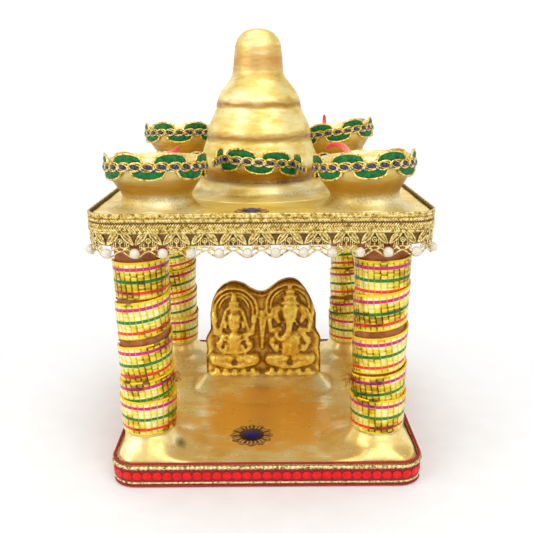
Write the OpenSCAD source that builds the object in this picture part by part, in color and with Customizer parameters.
// Clay Diwali temple: a gilded clay house with four wrapped pillars, an idol
// plaque, a trimmed roof, four oil lamps and a thrown dome spire.
// The origin is on the ground under the middle of the roof. +Z is up, -Y is
// the open front that faces the worshipper.

/* [Base] */
// Width of the clay base slab without its trim
base_w = 169.8; // [140:0.1:205]
// Depth of the clay base slab without its trim
base_d = 183; // [150:0.5:220]
// Thickness of the base slab
base_h = 14; // [10:0.5:20]
// Corner radius of the base slab
base_corner = 12; // [6:0.5:25]
// Sideways offset of the hand-set base under the roof
base_shift = 2; // [0:0.5:4]

/* [Base trim] */
// Diameter of the thin red cords along both edges
red_cord_d = 1.7; // [1:0.1:2.5]
// Diameter of the upper gold rope
upper_rope_d = 2.6; // [1.5:0.1:4]
// Diameter of the lower gold rope
lower_rope_d = 1.7; // [1:0.1:3]
// Thickness of the red sequin tape
sequin_band_t = 1.2; // [0.6:0.1:2]
// Height by which the top cord stands above the slab
trim_rise = 1.3; // [0:0.1:2]
// Glue line between a trim and the clay
glue = 0.15; // [0.1:0.05:0.3]
// Gap between two neighbouring trims
trim_gap = 0.1; // [0.05:0.05:0.3]

/* [Pillars] */
// Radius of a clay pillar's shaft
pillar_r = 13.8; // [10:0.1:17]
// How far the clay smeared round a pillar's foot spreads beyond the shaft
foot_flare = 3.8; // [2:0.1:6]
// Height of the smeared foot
foot_h = 12; // [6:0.5:18]
// Distance of a pillar's foot from the base's nearer side
pillar_inset_x = 0.1; // [0:0.1:12]
// Distance of a pillar's foot from the base's front or back
pillar_inset_y = 4.7; // [1:0.1:15]

/* [Ribbon] */
// Thickness of the wound ribbon with its padding
ribbon_t = 0.75; // [0.4:0.05:1.5]
// Rise of one turn of the ribbon
ribbon_pitch = 19.6; // [12:0.2:30]
// Bare gap left between two turns
turn_gap = 0.5; // [0.3:0.1:2]
// Bare clay left above the wound ribbon
bare_top = 9; // [5:0.5:25]
// Diameter of a ribbon knot
knot_d = 4.6; // [3:0.1:7]

/* [Idol] */
// Height of the low clay mound under the idol
mound_h = 4.5; // [2:0.5:10]
// Distance of the plaque's face from the middle, towards the back
idol_y = 12; // [0:1:30]
// Thickness of the plaque behind its relief
plaque_t = 9; // [5:0.5:14]
// Height of the plaque's taller arch
plaque_h = 70; // [55:0.5:80]

/* [Roof] */
// How far the clay roof slab reaches beyond the base on each side
roof_over_x = 3.7; // [0:0.1:8]
// How far the roof slab stays behind the base at the front and the back
roof_under_y = 2.9; // [0:0.1:8]
// Thickness of the roof slab
roof_t = 16.5; // [12:0.5:20]
// Height of the roof's top face above the ground
roof_top = 152; // [120:1:190]
// Corner radius of the roof slab
roof_corner = 14; // [8:0.5:25]

/* [Roof trim] */
// Height of one woven gold braid
braid_h = 4.8; // [3:0.1:7]
// Thickness of the woven braid
braid_t = 1.2; // [0.6:0.1:2]
// How far the leaf lace hangs below the roof slab at its lowest points
lace_below = 5.5; // [5:0.1:9]
// Thickness of the leaf lace
lace_t = 0.8; // [0.4:0.1:1.5]
// Repeats of the lace all round the roof, with a pearl between every two
lace_repeats = 48; // [40:1:60]
// Diameter of a pearl
pearl_d = 5; // [3:0.1:6]

/* [Spire] */
// Radius of the spire's foot ring at its widest
spire_r = 35.6; // [28:0.1:42]
// Height of the spire above the roof
spire_h = 94; // [70:0.5:110]
// Offset of the hand-set spire to the left
spire_shift_x = -1.5; // [-3:0.1:0]
// Offset of the hand-set spire to the front
spire_shift_y = -4; // [-8:0.5:0]
// Radius of the clay collar smeared round the spire
collar_r = 38.4; // [34:0.1:44]
// Height of the collar
collar_h = 8; // [5:0.5:12]
// How far the collar's foot spreads over the roof
collar_flare = 14; // [6:0.5:15]

/* [Lamps] */
// Distance of a lamp's middle from the roof's side
lamp_inset_x = 33.5; // [28:0.1:38]
// Distance of a lamp's middle from the roof's front or back
lamp_inset_y = 22.3; // [20:0.1:28]
// Outer radius of a lamp's rim
lamp_r = 25.3; // [18:0.1:27]
// Wall thickness of a lamp
lamp_wall = 3.6; // [2:0.1:5]
// Height of a front lamp's rim above the roof
lamp_h_front = 26.9; // [22:0.1:34]
// Height of a back lamp's rim above the roof
lamp_h_back = 33.6; // [26:0.1:40]
// Radius of a lamp's foot
lamp_foot_r = 18.2; // [14:0.1:20]
// How far the clay smeared round a lamp's foot spreads over the roof
lamp_flare = 8.8; // [3:0.1:10]
// Depth of the wax under a lamp's rim
wax_drop = 3; // [2:0.1:3.8]
// Diameter of a wick at its thick end
wick_d = 3.6; // [2:0.1:5]

/* [Green lace] */
// Height of the beaded chain in the middle of the lace
chain_h = 3.4; // [2:0.1:5]
// Thickness of the green lace
green_t = 1.3; // [0.8:0.1:2]
// Height of a padded scallop beyond the chain
scallop_h = 4.8; // [3:0.1:7]
// Length of a padded scallop along the chain
scallop_l = 16.5; // [10:0.5:20]
// Scallops round a lamp above the chain, and again below it
scallops_lamp = 7; // [5:1:9]
// Distance of the chain's middle under a lamp's rim
lace_drop = 4.6; // [3:0.1:7]
// Slant in degrees of a lamp's lace, low at the back
lace_tip = 5; // [0:0.5:8]

/* [Floor flower] */
// Radius of the blue middle of a painted clay flower
flower_middle_r = 6.4; // [4:0.1:9]
// Radius of the petals
flower_r = 13; // [9:0.1:18]
// Petals of a flower
petals = 10; // [6:1:14]

/* [Hidden] */
$fn = 64;

// Paints.
gold = [0.83, 0.67, 0.25];
pale_gold = [0.93, 0.84, 0.50];
clay_brown = [0.55, 0.33, 0.18];
red = [0.78, 0.08, 0.14];
lace_green = [0.02, 0.45, 0.20];
deep_blue = [0.08, 0.10, 0.50];
wax_white = [0.96, 0.90, 0.84];
pearl_white = [0.95, 0.93, 0.88];
wick_red = [0.90, 0.25, 0.20];

// A smooth curve through [radius, height] points, with n steps a span.
function spline_point(a, b, c, d, t) =
    0.5 * (2 * b + (c - a) * t + (2 * a - 5 * b + 4 * c - d) * t * t
    + (3 * b - a - 3 * c + d) * t * t * t);
function smooth(pts, n) = let (last = len(pts) - 1) concat(
    [for (i = [0 : last - 1], k = [0 : n - 1])
        spline_point(pts[max(i - 1, 0)], pts[i], pts[i + 1],
            pts[min(i + 2, last)], k / n)],
    [pts[last]]);

// A rectangle with round corners, centred on the origin.
module round_rect(w, d, r) {
    square([w - 2 * r, d], center = true);
    square([w, d - 2 * r], center = true);
    for (x = [-1, 1], y = [-1, 1])
        translate([x * (w / 2 - r), y * (d / 2 - r)]) circle(r);
}

// A flat tape that stands on edge round a rounded slab, inner face at gap.
module tape_ring(w, d, r, gap, t, h) {
    linear_extrude(h) difference() {
        round_rect(w + 2 * (gap + t), d + 2 * (gap + t), r + gap + t);
        round_rect(w + 2 * gap, d + 2 * gap, r + gap);
    }
}

// A round cord that runs round a rounded slab, inner side at gap.
module cord_ring(w, d, r, gap, cord_d) {
    path_r = r + gap + cord_d / 2;
    for (x = [0, 1], y = [0, 1]) mirror([x, 0, 0]) mirror([0, y, 0])
        translate([w / 2 - r, d / 2 - r, 0]) rotate_extrude(angle = 90)
            translate([path_r, 0]) circle(d = cord_d, $fn = 24);
    for (x = [-1, 1])
        translate([x * (w / 2 - r + path_r), 0, 0]) rotate([90, 0, 0])
            cylinder(d = cord_d, h = d - 2 * r, center = true, $fn = 24);
    for (y = [-1, 1])
        translate([0, y * (d / 2 - r + path_r), 0]) rotate([0, 90, 0])
            cylinder(d = cord_d, h = w - 2 * r, center = true, $fn = 24);
}

// ---- Places tied to one another -------------------------------------------
roof_w = base_w + 2 * roof_over_x;
roof_d = base_d - 2 * roof_under_y;
foot_r = pillar_r + foot_flare;
pillar_x = base_w / 2 - base_shift - foot_r - pillar_inset_x;
pillar_y = base_d / 2 - foot_r - pillar_inset_y;
lamp_x = roof_w / 2 - lamp_inset_x;
lamp_y = roof_d / 2 - lamp_inset_y;

// ---- Base -----------------------------------------------------------------
top_cord_z = base_h + trim_rise - red_cord_d / 2;
upper_rope_z = top_cord_z - red_cord_d / 2 - trim_gap - upper_rope_d / 2;
bottom_cord_z = trim_gap + red_cord_d / 2;
lower_rope_z = bottom_cord_z + red_cord_d / 2 + trim_gap + lower_rope_d / 2;
band_z0 = lower_rope_z + lower_rope_d / 2 + trim_gap;
band_z1 = upper_rope_z - upper_rope_d / 2 - trim_gap;
edge_round = 3;

module base_slab() {
    color(gold) translate([base_shift, 0, 0]) difference() {
        linear_extrude(base_h) round_rect(base_w, base_d, base_corner);
        // The hand-rolled top edge.
        translate([0, 0, base_h]) difference() {
            linear_extrude(2 * edge_round, center = true) difference() {
                round_rect(base_w + 2, base_d + 2, base_corner + 1);
                round_rect(base_w - 2 * edge_round, base_d - 2 * edge_round,
                    base_corner - edge_round);
            }
            translate([0, 0, -edge_round]) cord_ring(
                base_w - 4 * edge_round, base_d - 4 * edge_round,
                base_corner - 2 * edge_round, 0, 2 * edge_round);
        }
    }
}

module base_cord(z, cord_d) {
    translate([base_shift, 0, z])
        cord_ring(base_w, base_d, base_corner, glue, cord_d);
}

module base_cord_top() color(red) base_cord(top_cord_z, red_cord_d);
module base_rope_upper() color(pale_gold) base_cord(upper_rope_z, upper_rope_d);
module base_rope_lower() color(pale_gold) base_cord(lower_rope_z, lower_rope_d);
module base_cord_bottom() color(red) base_cord(bottom_cord_z, red_cord_d);

module base_sequin_band() {
    color(red) translate([base_shift, 0, band_z0]) tape_ring(base_w, base_d,
        base_corner, glue, sequin_band_t, band_z1 - band_z0);
}

// ---- Pillars and ribbon ---------------------------------------------------
roof_under = roof_top - roof_t;
pillar_h = roof_under - base_h;
wrap_z0 = base_h + foot_h + 1;
wrap_z1 = roof_under - bare_top;
// The foot's spread beyond the shaft and its height, as parts of the whole.
foot_profile = [[1, 0], [0.66, 0.1], [0.32, 0.3], [0.1, 0.65], [0, 1]];

module pillar(x, y) {
    outline = concat(
        smooth([for (f = foot_profile) [pillar_r + f[0] * foot_flare, f[1] * foot_h]], 4),
        [[pillar_r, pillar_h - 6]],
        smooth([[pillar_r, pillar_h - 5], [pillar_r + 1, pillar_h - 2],
            [pillar_r + 2.4, pillar_h]], 3));
    color(gold) translate([x, y, base_h]) rotate_extrude()
        polygon(concat([[0, 0]], outline, [[0, pillar_h]]));
}

// A ribbon wound up a pillar as one helical band, cut level at both ends.
module ribbon_wrap(x, y, start) {
    steps = 20;
    band = ribbon_pitch - turn_gap;
    chord_fit = cos(180 / steps);
    r0 = (pillar_r + glue) / chord_fit;
    r1 = r0 + ribbon_t;
    least = band / 4;
    rise = wrap_z1 - wrap_z0;
    // Height of the band's middle along the winding, from its first sliver.
    n = floor((rise + band - 2 * least) / ribbon_pitch * steps);
    function mid(i) = wrap_z0 + least - band / 2 + i * ribbon_pitch / steps;
    function low(i) = max(wrap_z0, mid(i) - band / 2);
    function high(i) = min(wrap_z1, mid(i) + band / 2);
    rings = [for (i = [0 : n]) let (a = start + i * 360 / steps) each [
        [r0 * cos(a), r0 * sin(a), low(i)], [r1 * cos(a), r1 * sin(a), low(i)],
        [r1 * cos(a), r1 * sin(a), high(i)], [r0 * cos(a), r0 * sin(a), high(i)]
    ]];
    sides = [for (i = [0 : n - 1], k = [0 : 3]) let (p = 4 * i + k,
        q = 4 * i + (k + 1) % 4) [p, p + 4, q + 4, q]];
    translate([x, y, 0]) polyhedron(rings,
        concat([[0, 1, 2, 3]], sides, [[4 * n + 3, 4 * n + 2, 4 * n + 1, 4 * n]]),
        convexity = 6);
}

module ribbon_knot(side, z, size) {
    r = pillar_r + glue + ribbon_t + 0.6;
    color(clay_brown) translate([side * (pillar_x - r), -pillar_y, z]) {
        translate([-side * size / 2, 0, 0]) sphere(d = size, $fn = 24);
        translate([-side * size / 2, 0, 0]) rotate([0, side * 18, 0])
            translate([0, 0, -size * 1.3])
                cylinder(d1 = size * 0.7, d2 = size * 0.4, h = size * 1.3, $fn = 24);
    }
}

module pillar_front_left() pillar(-pillar_x, -pillar_y);
module pillar_front_right() pillar(pillar_x, -pillar_y);
module pillar_back_left() pillar(-pillar_x, pillar_y);
module pillar_back_right() pillar(pillar_x, pillar_y);
module ribbon_wrap_front_left() color(pale_gold) ribbon_wrap(-pillar_x, -pillar_y, 210);
module ribbon_wrap_front_right() color(pale_gold) ribbon_wrap(pillar_x, -pillar_y, 150);
module ribbon_wrap_back_left() color(pale_gold) ribbon_wrap(-pillar_x, pillar_y, 30);
module ribbon_wrap_back_right() color(pale_gold) ribbon_wrap(pillar_x, pillar_y, 330);
module ribbon_knot_left() ribbon_knot(-1, wrap_z0 + 31, knot_d);
module ribbon_knot_right() ribbon_knot(1, wrap_z0 + 29, knot_d + 1);

// ---- Idol -----------------------------------------------------------------
mound_rx = 45;
mound_ry = 29;
mound_y = idol_y - 4;

module idol_mound() {
    rings = 5;
    segs = 48;
    // Height of the soft dome at a part of its outline, 0 middle to 1 edge.
    function rise(s) = mound_h * (1 - pow(s, 3.2));
    pts = concat([[0, 0, mound_h]], [for (k = [1 : rings], i = [0 : segs - 1])
        let (s = 0.55 + 0.45 * (k - 1) / (rings - 1), a = i * 360 / segs)
        [s * mound_rx * cos(a), s * mound_ry * sin(a), max(0, rise(s))]]);
    function at(k, i) = 1 + (k - 1) * segs + i % segs;
    faces = concat([for (i = [0 : segs - 1]) [0, at(1, i + 1), at(1, i)]],
        [for (k = [1 : rings - 1], i = [0 : segs - 1])
            [at(k, i), at(k, i + 1), at(k + 1, i + 1), at(k + 1, i)]],
        [[for (i = [0 : segs - 1]) at(rings, i)]]);
    color(gold) translate([-1, mound_y, base_h]) polyhedron(pts, faces);
}

// A rounded bar between two points, thick at one end and thin at the other.
module limb(a, b, ra, rb) {
    hull() {
        translate(a) sphere(ra, $fn = 10);
        translate(b) sphere(rb, $fn = 10);
    }
}

// Limbs along a list of points, each with its radius as a fourth number.
module limb_chain(p) {
    for (i = [0 : len(p) - 2]) limb([p[i][0], p[i][1], p[i][2]],
        [p[i + 1][0], p[i + 1][1], p[i + 1][2]], p[i][3], p[i + 1][3]);
}

// A raised arch band round a figure, on the face of the plaque.
module arch_band(z, r, t, leg) {
    translate([0, 0, z]) rotate([90, 0, 0]) {
        rotate_extrude(angle = 180, $fn = 24) translate([r, 0]) circle(t, $fn = 8);
        for (x = [-1, 1]) translate([x * r, 0, 0]) rotate([90, 0, 0])
            cylinder(r = t, h = leg, $fn = 8);
    }
}

// The goddess seated under her halo, facing -Y, feet at z = 0.
module seated_goddess() {
    arch_band(50, 12.7, 1.5, 24);
    arch_band(50, 9.3, 1.1, 8);
    limb([0, -2.5, 50], [0, -2.5, 53], 5.2, 4.6);
    limb([0, -2, 57], [0, -1.5, 62], 4.4, 1.6);
    limb([0, -2, 34], [0, -2, 43], 6.2, 6.8);
    for (x = [-1, 1]) {
        limb_chain([[x * 7, -1.5, 42, 2.8], [x * 11.5, -2, 36, 2.4],
            [x * 9.5, -4.5, 30, 2.2]]);
        limb_chain([[x * 7, -0.5, 43, 2.6], [x * 12.5, -1, 41, 2.2],
            [x * 13.5, -1.5, 48, 2.4]]);
        limb([x * 9.5, -0.6, 40], [x * 11.5, -0.6, 38.5], 2, 2);
        limb_chain([[x * 3, -3, 28, 5], [x * 13, -4, 22, 4.6],
            [x * 3, -7, 17, 3.4]]);
    }
    for (i = [-3 : 3]) translate([i * 4.6, -4 + abs(i) * 0.5, 9])
        sphere(3.6, $fn = 10);
    limb([-15, -2, 4], [15, -2, 4], 4, 4);
}

// Ganesh seated, with his curled trunk and wide ears, facing -Y.
module seated_ganesh() {
    arch_band(52, 12.8, 1.5, 26);
    limb([0, -3, 49], [0, -2.5, 55], 5.8, 5.2);
    limb([0, -2, 59], [0, -1.5, 66], 4.8, 1.6);
    limb_chain([[0, -6, 48, 3], [1.5, -8.5, 42, 2.6], [1, -9.5, 36, 2.3],
        [-3.5, -10, 32.5, 2], [-6.5, -9.5, 35, 1.7]]);
    limb([0, -3.5, 33], [0, -2, 42], 8, 6.5);
    for (x = [-1, 1]) {
        limb([x * 7.5, -1.5, 52], [x * 8.5, -1.5, 48], 4, 3);
        limb_chain([[x * 7, -1.5, 41, 3], [x * 12, -2, 35, 2.6],
            [x * 9.5, -6, 31, 2.4]]);
        limb_chain([[x * 7, -0.5, 42, 2.8], [x * 13, -1, 40, 2.3],
            [x * 13.5, -1.5, 47, 2.5]]);
        limb_chain([[x * 3, -3.5, 26, 5.4], [x * 13, -4, 21, 4.8],
            [x * 3, -7.5, 16, 3.6]]);
    }
    for (i = [-3 : 3]) translate([i * 4.6, -4 + abs(i) * 0.5, 9])
        sphere(3.6, $fn = 10);
    limb([-15, -2, 4], [15, -2, 4], 4, 4);
}

goddess_x = -19.5;
ganesh_x = 17.5;
// The plaque's outline for a height of 70: straight foot, hips, and twin arches
// with a shallow valley between them.
plaque_outline = [
    [38, 0], [37.5, 10], [37.5, 20], [35, 33], [35.5, 46], [32, 56], [27, 64],
    [17.5, 70], [8, 66], [0, 61], [-8, 63], [-20, 68], [-29, 63.5], [-34, 54],
    [-35.5, 42], [-38, 30], [-38.5, 18], [-38, 8], [-38, 0]
];

module idol_plaque() {
    scale_h = plaque_h / 70;
    color(gold) translate([0, idol_y, base_h + mound_h - 0.05]) intersection() {
        union() {
            translate([0, plaque_t, 0]) rotate([90, 0, 0])
                linear_extrude(plaque_t) scale(scale_h)
                    polygon(smooth(plaque_outline, 2));
            // The lotus stalk that stands between the two figures.
            translate([-1, 0, 0]) scale(scale_h)
                limb_chain([[-0.5, -0.6, 15, 1.4], [0, -1.2, 36, 2], [0, -1, 46, 2.8]]);
            translate([goddess_x, 0, 0]) scale(scale_h) seated_goddess();
            translate([ganesh_x, 0, 0]) scale(scale_h) seated_ganesh();
        }
        translate([-60, -20, 0]) cube([120, 20 + plaque_t, 100]);
    }
}

// ---- Flowers --------------------------------------------------------------
// A low painted clay flower: a domed blue middle in a ring of petals.
module flower(r, middle_r) {
    dome_h = 1.2;
    dome_r = (middle_r * middle_r + dome_h * dome_h) / (2 * dome_h);
    color(clay_brown) for (i = [0 : petals - 1]) rotate(i * 360 / petals)
        translate([(r + middle_r) / 2, 0, 0])
            cylinder(r = (r - middle_r) / 2 + 0.2, h = 0.7, $fn = 24);
    color(deep_blue) {
        cylinder(r = middle_r, h = 0.8);
        intersection() {
            translate([0, 0, 0.7 + dome_h - dome_r]) sphere(dome_r);
            cylinder(r = middle_r, h = 0.7 + dome_h);
        }
    }
}

module floor_flower() {
    translate([-7, -base_d / 2 + 31, base_h + 0.05]) flower(flower_r, flower_middle_r);
}

module roof_flower() {
    translate([-5, -roof_d / 2 + 9.5, roof_top + 0.05]) flower(9, 5.4);
}

// ---- Roof -----------------------------------------------------------------
braid_top = roof_top + 0.8;

module roof_slab() {
    color(gold) translate([0, 0, roof_under])
        linear_extrude(roof_t) round_rect(roof_w, roof_d, roof_corner);
}

module roof_braid(z) {
    color(pale_gold) translate([0, 0, z]) tape_ring(roof_w, roof_d,
        roof_corner, glue, braid_t, braid_h);
}

lower_braid_z = braid_top - 2 * braid_h - trim_gap;
module roof_braid_upper() roof_braid(braid_top - braid_h);
module roof_braid_lower() roof_braid(lower_braid_z);

// The leaf lace hangs below the braids, close round the slab, straight parts and
// corners alike. A place on its line is found by the length run from the middle
// of the front, and is given as [x, y, angle of the way out].
lace_z1 = lower_braid_z - trim_gap;
lace_z0 = roof_under - lace_below;
pearl_z = roof_under - 0.3 - pearl_d / 2;
lace_gap = 3 * glue;
lace_r = roof_corner + lace_gap;
side_x = roof_w - 2 * roof_corner;
side_y = roof_d - 2 * roof_corner;
corner_l = lace_r * PI / 2;
half_l = side_x + side_y + 2 * corner_l;
repeat_l = 2 * half_l / lace_repeats;

function lace_place(run) = let (
        back = run > half_l / 2 && run < 1.5 * half_l,
        s = run <= half_l / 2 ? run : run < 1.5 * half_l ? run - half_l : run - 2 * half_l,
        p = side_x / 2,
        a = abs(s) - p,
        turn = min(90, max(0, a / corner_l * 90)),
        x = min(abs(s), p) + lace_r * sin(turn),
        y = -side_y / 2 - lace_r * cos(turn) + max(0, a - corner_l),
        right = s < 0 ? -1 : 1, front = back ? -1 : 1)
    [right * front * x, front * y, front < 0 ? right * turn + 90 : right * turn - 90];

// The lower edge of one repeat: [run from the pearl, height over the lowest point],
// round a notch for the pearl, then swinging up under the leaves' knot.
notch = pearl_d / 2 + 0.35;
half_edge = [[0.65 * notch, lace_below - 0.1], [0.98 * notch, pearl_z - lace_z0],
    [1.05 * notch, 0], [repeat_l / 2, 0.65 * lace_below]];
lace_edge = concat(half_edge, [for (i = [2 : -1 : 0])
    [repeat_l - half_edge[i][0], half_edge[i][1]]]);

module leaf_lace() {
    rings = [for (i = [0 : lace_repeats - 1], e = lace_edge)
        let (at = lace_place(i * repeat_l + e[0]), low = lace_z0 + e[1],
            out = [cos(at[2]), sin(at[2])] * lace_t)
        each [[at[0], at[1], low], [at[0] + out[0], at[1] + out[1], low],
            [at[0] + out[0], at[1] + out[1], lace_z1], [at[0], at[1], lace_z1]]];
    n = lace_repeats * len(lace_edge);
    color(pale_gold) polyhedron(rings, [for (i = [0 : n - 1], k = [0 : 3])
        let (j = (i + 1) % n, l = (k + 1) % 4)
        [4 * i + k, 4 * j + k, 4 * j + l, 4 * i + l]], convexity = 10);
}

// Pearls sewn into the notches at the lace's low points.
module pearl_fringe() {
    color(pearl_white) for (i = [0 : lace_repeats - 1])
        let (at = lace_place(i * repeat_l)) translate([at[0], at[1], pearl_z])
            rotate(at[2]) translate([lace_t / 2, 0, 0]) sphere(d = pearl_d, $fn = 24);
}

// ---- Spire ----------------------------------------------------------------
// Outline as parts of the widest radius and of the height, with three thrown
// rings, the shoulder, the neck and the round top.
spire_profile = [
    [0.871, 0.085], [0.960, 0.128], [1.000, 0.185], [0.972, 0.232],
    [0.930, 0.277], [0.896, 0.314], [0.876, 0.328], [0.888, 0.351],
    [0.876, 0.376], [0.823, 0.430], [0.758, 0.480], [0.713, 0.513],
    [0.699, 0.523], [0.708, 0.537], [0.683, 0.572], [0.654, 0.601],
    [0.610, 0.630], [0.506, 0.680], [0.447, 0.713], [0.424, 0.731],
    [0.410, 0.778], [0.390, 0.847], [0.376, 0.894], [0.357, 0.922],
    [0.298, 0.959], [0.191, 0.987], [0.000, 1.000]
];

module spire_place() {
    translate([spire_shift_x, spire_shift_y, roof_top]) children();
}

spire_foot_r = spire_profile[0][0] * spire_r;
// The straight foot stands in the collar, and the thrown form starts above it.
spire_foot_h = collar_h - 0.01;
above_foot = (spire_h - spire_foot_h) / (1 - spire_profile[0][1]);
spire_outline = [for (p = spire_profile)
    [p[0] * spire_r, spire_foot_h + (p[1] - spire_profile[0][1]) * above_foot]];

module spire() {
    color(gold) spire_place() rotate_extrude()
        polygon(concat([[0, 0.05], [spire_foot_r, 0.05]],
            smooth(spire_outline, 4)));
}

module spire_collar() {
    color(gold) spire_place() rotate_extrude() polygon(concat(
        [[spire_foot_r + glue, 0.05], [collar_r + collar_flare, 0.05]],
        smooth([[collar_r + collar_flare, 0.2], [collar_r + 0.45 * collar_flare, 0.9],
            [collar_r + 1.4, 2.2], [collar_r, 0.5 * collar_h],
            [collar_r - 1.4, 0.78 * collar_h], [collar_r - 4.6, 0.97 * collar_h],
            [spire_foot_r + glue + 0.4, collar_h]], 3),
        [[spire_foot_r + glue, collar_h - 0.1]]));
}

// ---- Lamps ----------------------------------------------------------------
// A thrown bowl: waist, belly, rolled rim and a round hollow for the wax.
waist_z = 7.5;
hollow_floor = 14;
rim_roll = lamp_wall / 2;

module lamp_body(h) {
    belly = h - lamp_h_front;
    outline = smooth([[lamp_foot_r + 0.6, -6], [lamp_foot_r + 0.2, 1],
        [lamp_foot_r, waist_z + belly], [lamp_foot_r + 2.4, waist_z + 4.5 + belly],
        [lamp_r - 1.2, h - 9.5], [lamp_r - 0.2, h - 5.5], [lamp_r, h - rim_roll]], 4);
    difference() {
        union() {
            rotate_extrude() polygon(concat([[0, -6]], outline,
                [[lamp_r - lamp_wall, h - rim_roll], [0, h - rim_roll]]));
            translate([0, 0, h - rim_roll]) rotate_extrude()
                translate([lamp_r - rim_roll, 0]) circle(rim_roll, $fn = 32);
        }
        rotate_extrude() polygon(concat([[0, h - hollow_floor]],
            smooth([[0, h - hollow_floor], [lamp_r * 0.45, h - 12.6],
                [lamp_r * 0.72, h - 8.5], [lamp_r - lamp_wall - 0.4, h - 4],
                [lamp_r - lamp_wall, h - rim_roll]], 4),
            [[lamp_r - lamp_wall, h + 3], [0, h + 3]]));
    }
}

// Sets a lamp piece on the roof: side -1 or 1, row -1 front or 1 back.
module lamp_place(side, row, tilt) {
    translate([side * lamp_x, row * lamp_y, roof_top]) rotate([0, -tilt, 0])
        children();
}

tilts = [0, 3, 0, 8];

// The clay smeared round a lamp's foot, which ends at the roof's edges and at the
// spire's collar.
module lamp_smear(side, row) {
    foot = smooth([[lamp_foot_r + lamp_flare, 0.1], [lamp_foot_r + 0.6 * lamp_flare, 0.8],
        [lamp_foot_r + 0.27 * lamp_flare, 2.4], [lamp_foot_r + 0.06 * lamp_flare, 5],
        [lamp_foot_r - 0.6, waist_z]], 4);
    intersection() {
        translate([side * lamp_x, row * lamp_y, roof_top]) rotate_extrude()
            polygon(concat([[0, 0], [lamp_foot_r + lamp_flare, 0]], foot, [[0, waist_z]]));
        translate([0, 0, roof_top + 0.05]) linear_extrude(waist_z + 1) difference() {
            round_rect(roof_w, roof_d, roof_corner);
            translate([spire_shift_x, spire_shift_y])
                circle(collar_r + collar_flare + glue);
        }
    }
}

module lamp(side, row, tilt) {
    color(gold) {
        difference() {
            lamp_place(side, row, tilt)
                lamp_body(row < 0 ? lamp_h_front : lamp_h_back);
            translate([side * lamp_x - 50, row * lamp_y - 50, roof_top - 49.95])
                cube([100, 100, 50]);
        }
        lamp_smear(side, row);
    }
}

module wax(side, row, tilt) {
    h = row < 0 ? lamp_h_front : lamp_h_back;
    gap = 0.2;
    color(wax_white) lamp_place(side, row, tilt) rotate_extrude()
        polygon(concat([[0, h - hollow_floor + gap]],
            smooth([[0, h - hollow_floor + gap], [lamp_r * 0.45 - gap, h - 12.4],
                [lamp_r * 0.72 - gap, h - 8.3],
                [lamp_r - lamp_wall - 0.4 - gap, h - 4],
                [lamp_r - lamp_wall - gap, h - wax_drop]], 4),
            [[0, h - wax_drop - 0.4]]));
}

module lamp_front_left() lamp(-1, -1, tilts[0]);
module lamp_front_right() lamp(1, -1, tilts[1]);
module lamp_back_left() lamp(-1, 1, tilts[2]);
module lamp_back_right() lamp(1, 1, tilts[3]);
module wax_front_left() wax(-1, -1, tilts[0]);
module wax_front_right() wax(1, -1, tilts[1]);
module wax_back_left() wax(-1, 1, tilts[2]);
module wax_back_right() wax(1, 1, tilts[3]);

// A tapered wick with round ends, standing on the wax at z = 0.
module wick(l) {
    rotate_extrude($fn = 24) polygon(concat([[0, 0]],
        smooth([[wick_d * 0.3, 0], [wick_d / 2, wick_d * 0.4],
            [wick_d * 0.44, l * 0.5], [wick_d * 0.3, l - wick_d * 0.3],
            [wick_d * 0.12, l]], 3), [[0, l]]));
}

// Stands a wick on a lamp's wax, at a place beside the lamp's middle.
module wick_place(side, row, tilt, at) {
    h = row < 0 ? lamp_h_front : lamp_h_back;
    lamp_place(side, row, tilt)
        translate([at[0], at[1], h - wax_drop + 0.15]) children();
}

module wick_front_left() {
    color(wick_red) wick_place(-1, -1, tilts[0], [1, 8])
        translate([0, 0, wick_d / 2]) rotate([0, 0, 50]) rotate([0, 68, 0])
            wick(17);
}

// The long wick bends over the rim in one arc.
module wick_front_right() {
    bend_r = 8.5;
    color(wick_red) wick_place(1, -1, tilts[1], [-6, 9]) rotate([90, 0, 190])
        translate([bend_r, 0, 0]) rotate([0, 0, 180])
            rotate_extrude(angle = -125, $fn = 48) translate([bend_r, 0])
                circle(d = wick_d, $fn = 24);
}

module wick_back_left() {
    color(wick_red) wick_place(-1, 1, tilts[2], [10, -4])
        translate([0, 0, 0.2]) rotate([0, 25, 0]) wick(7);
}

module wick_back_right() {
    color(wick_red) wick_place(1, 1, tilts[3], [-6, 12]) rotate([0, 8, 0])
        wick(11);
}

// ---- Green lace -----------------------------------------------------------
// A half-moon scallop, seen flat: above the chain for up = 1.
module scallop_2d(up) {
    r = (scallop_l * scallop_l / 4 + scallop_h * scallop_h) / (2 * scallop_h);
    intersection() {
        translate([0, up * (chain_h / 2 - 0.3 + scallop_h - r)])
            circle(r, $fn = 48);
        translate([-scallop_l, up > 0 ? 0 : -scallop_h - chain_h])
            square([2 * scallop_l, scallop_h + chain_h]);
    }
}

module lamp_lace(side, row, tilt) {
    h = row < 0 ? lamp_h_front : lamp_h_back;
    r0 = lamp_r + 0.25;
    color(lace_green) lamp_place(side, row, tilt)
        translate([0, 0, h - lace_drop]) rotate([-lace_tip, 0, 0]) {
            difference() {
                cylinder(r = r0 + green_t, h = chain_h, center = true);
                cylinder(r = r0, h = chain_h + 2, center = true);
            }
            intersection() {
                difference() {
                    cylinder(r = r0 + green_t - 0.2, h = 3 * scallop_h, center = true);
                    cylinder(r = r0, h = 4 * scallop_h, center = true);
                }
                for (i = [0 : scallops_lamp - 1], up = [0, 1])
                    rotate((i + up / 2) * 360 / scallops_lamp)
                        rotate([90, 0, 0]) linear_extrude(lamp_r + 9)
                            scallop_2d(2 * up - 1);
            }
        }
}

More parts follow.
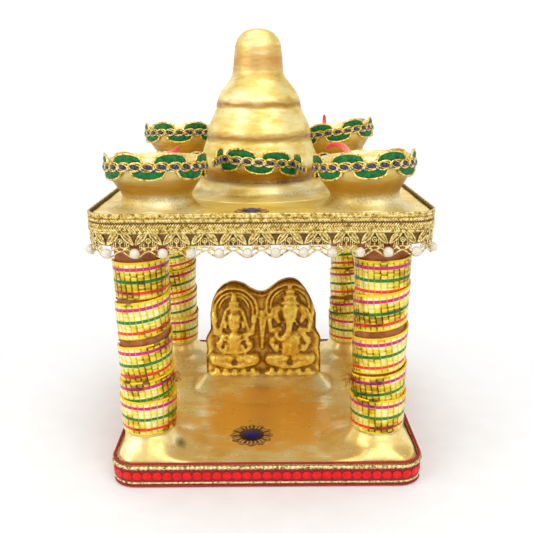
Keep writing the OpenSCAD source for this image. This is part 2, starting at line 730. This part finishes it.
module lamp_lace_front_left() lamp_lace(-1, -1, tilts[0]);
module lamp_lace_front_right() lamp_lace(1, -1, tilts[1]);
module lamp_lace_back_left() lamp_lace(-1, 1, tilts[2]);
module lamp_lace_back_right() lamp_lace(1, 1, tilts[3]);

// The lace strung from lamp to lamp and glued across the spire, for one row. From
// each lamp a leg runs to the spire, and an arc follows the spire between them.
festoon_turn = 48;
festoon_step = 33;

module festoon(row) {
    h = row < 0 ? lamp_h_front : lamp_h_back;
    z = roof_top + (row < 0 ? h - 6.4 : h - 9.6);
    fall = row < 0 ? 0.079 : 0;
    middle = [spire_shift_x, spire_shift_y];
    r = spire_r + glue + green_t / 2;
    beside = lamp_r + 0.25 + green_t + 0.2 + green_t / 2;
    function on_arc(turn) = middle + r * [sin(turn), row * cos(turn)];
    function lean(side) = h * sin(tilts[(row + 1) + (side + 1) / 2]);
    function end(side) = [side * (lamp_x - beside) - lean(side), row * (lamp_y - 3)];
    path = concat([end(-1)], [for (i = [-6 : 6]) on_arc(i * festoon_turn / 6)], [end(1)]);
    color(lace_green) {
        // The beaded chain.
        multmatrix([[1, 0, 0, 0], [0, 1, 0, 0], [-fall, 0, 1, z]])
            linear_extrude(chain_h, center = true)
                for (i = [0 : len(path) - 2]) hull() {
                    translate(path[i]) circle(d = green_t, $fn = 8);
                    translate(path[i + 1]) circle(d = green_t, $fn = 8);
                }
        // Scallops on the arc, above and below by turns.
        for (i = [-2 : 2]) let (turn = i * festoon_step / 2, at = on_arc(turn))
            translate([at[0], at[1], z - fall * at[0]])
                rotate([90, atan(fall), row < 0 ? turn : 180 - turn])
                    translate([0, 0, 0.2 - green_t / 2]) linear_extrude(green_t)
                        scallop_2d(i % 2 == 0 ? 1 : -1);
        // One scallop below each leg.
        for (side = [-1, 1]) let (a = end(side), b = on_arc(side * festoon_turn),
                at = 0.55 * a + 0.45 * b, run = a - b)
            translate([at[0], at[1], z - fall * at[0]])
                rotate([90, 0, atan2(run[1], run[0])])
                    linear_extrude(green_t - 0.3, center = true) scallop_2d(-1);
    }
}

module festoon_front() festoon(-1);
module festoon_back() festoon(1);

base_slab();
base_cord_top();
base_rope_upper();
base_sequin_band();
base_rope_lower();
base_cord_bottom();
idol_mound();
idol_plaque();
floor_flower();
pillar_front_left();
pillar_front_right();
pillar_back_left();
pillar_back_right();
ribbon_wrap_front_left();
ribbon_wrap_front_right();
ribbon_wrap_back_left();
ribbon_wrap_back_right();
ribbon_knot_left();
ribbon_knot_right();
roof_slab();
roof_flower();
roof_braid_upper();
roof_braid_lower();
leaf_lace();
pearl_fringe();
spire();
spire_collar();
lamp_front_left();
lamp_front_right();
lamp_back_left();
lamp_back_right();
wax_front_left();
wax_front_right();
wax_back_left();
wax_back_right();
wick_front_left();
wick_front_right();
wick_back_left();
wick_back_right();
lamp_lace_front_left();
lamp_lace_front_right();
lamp_lace_back_left();
lamp_lace_back_right();
festoon_front();
festoon_back();
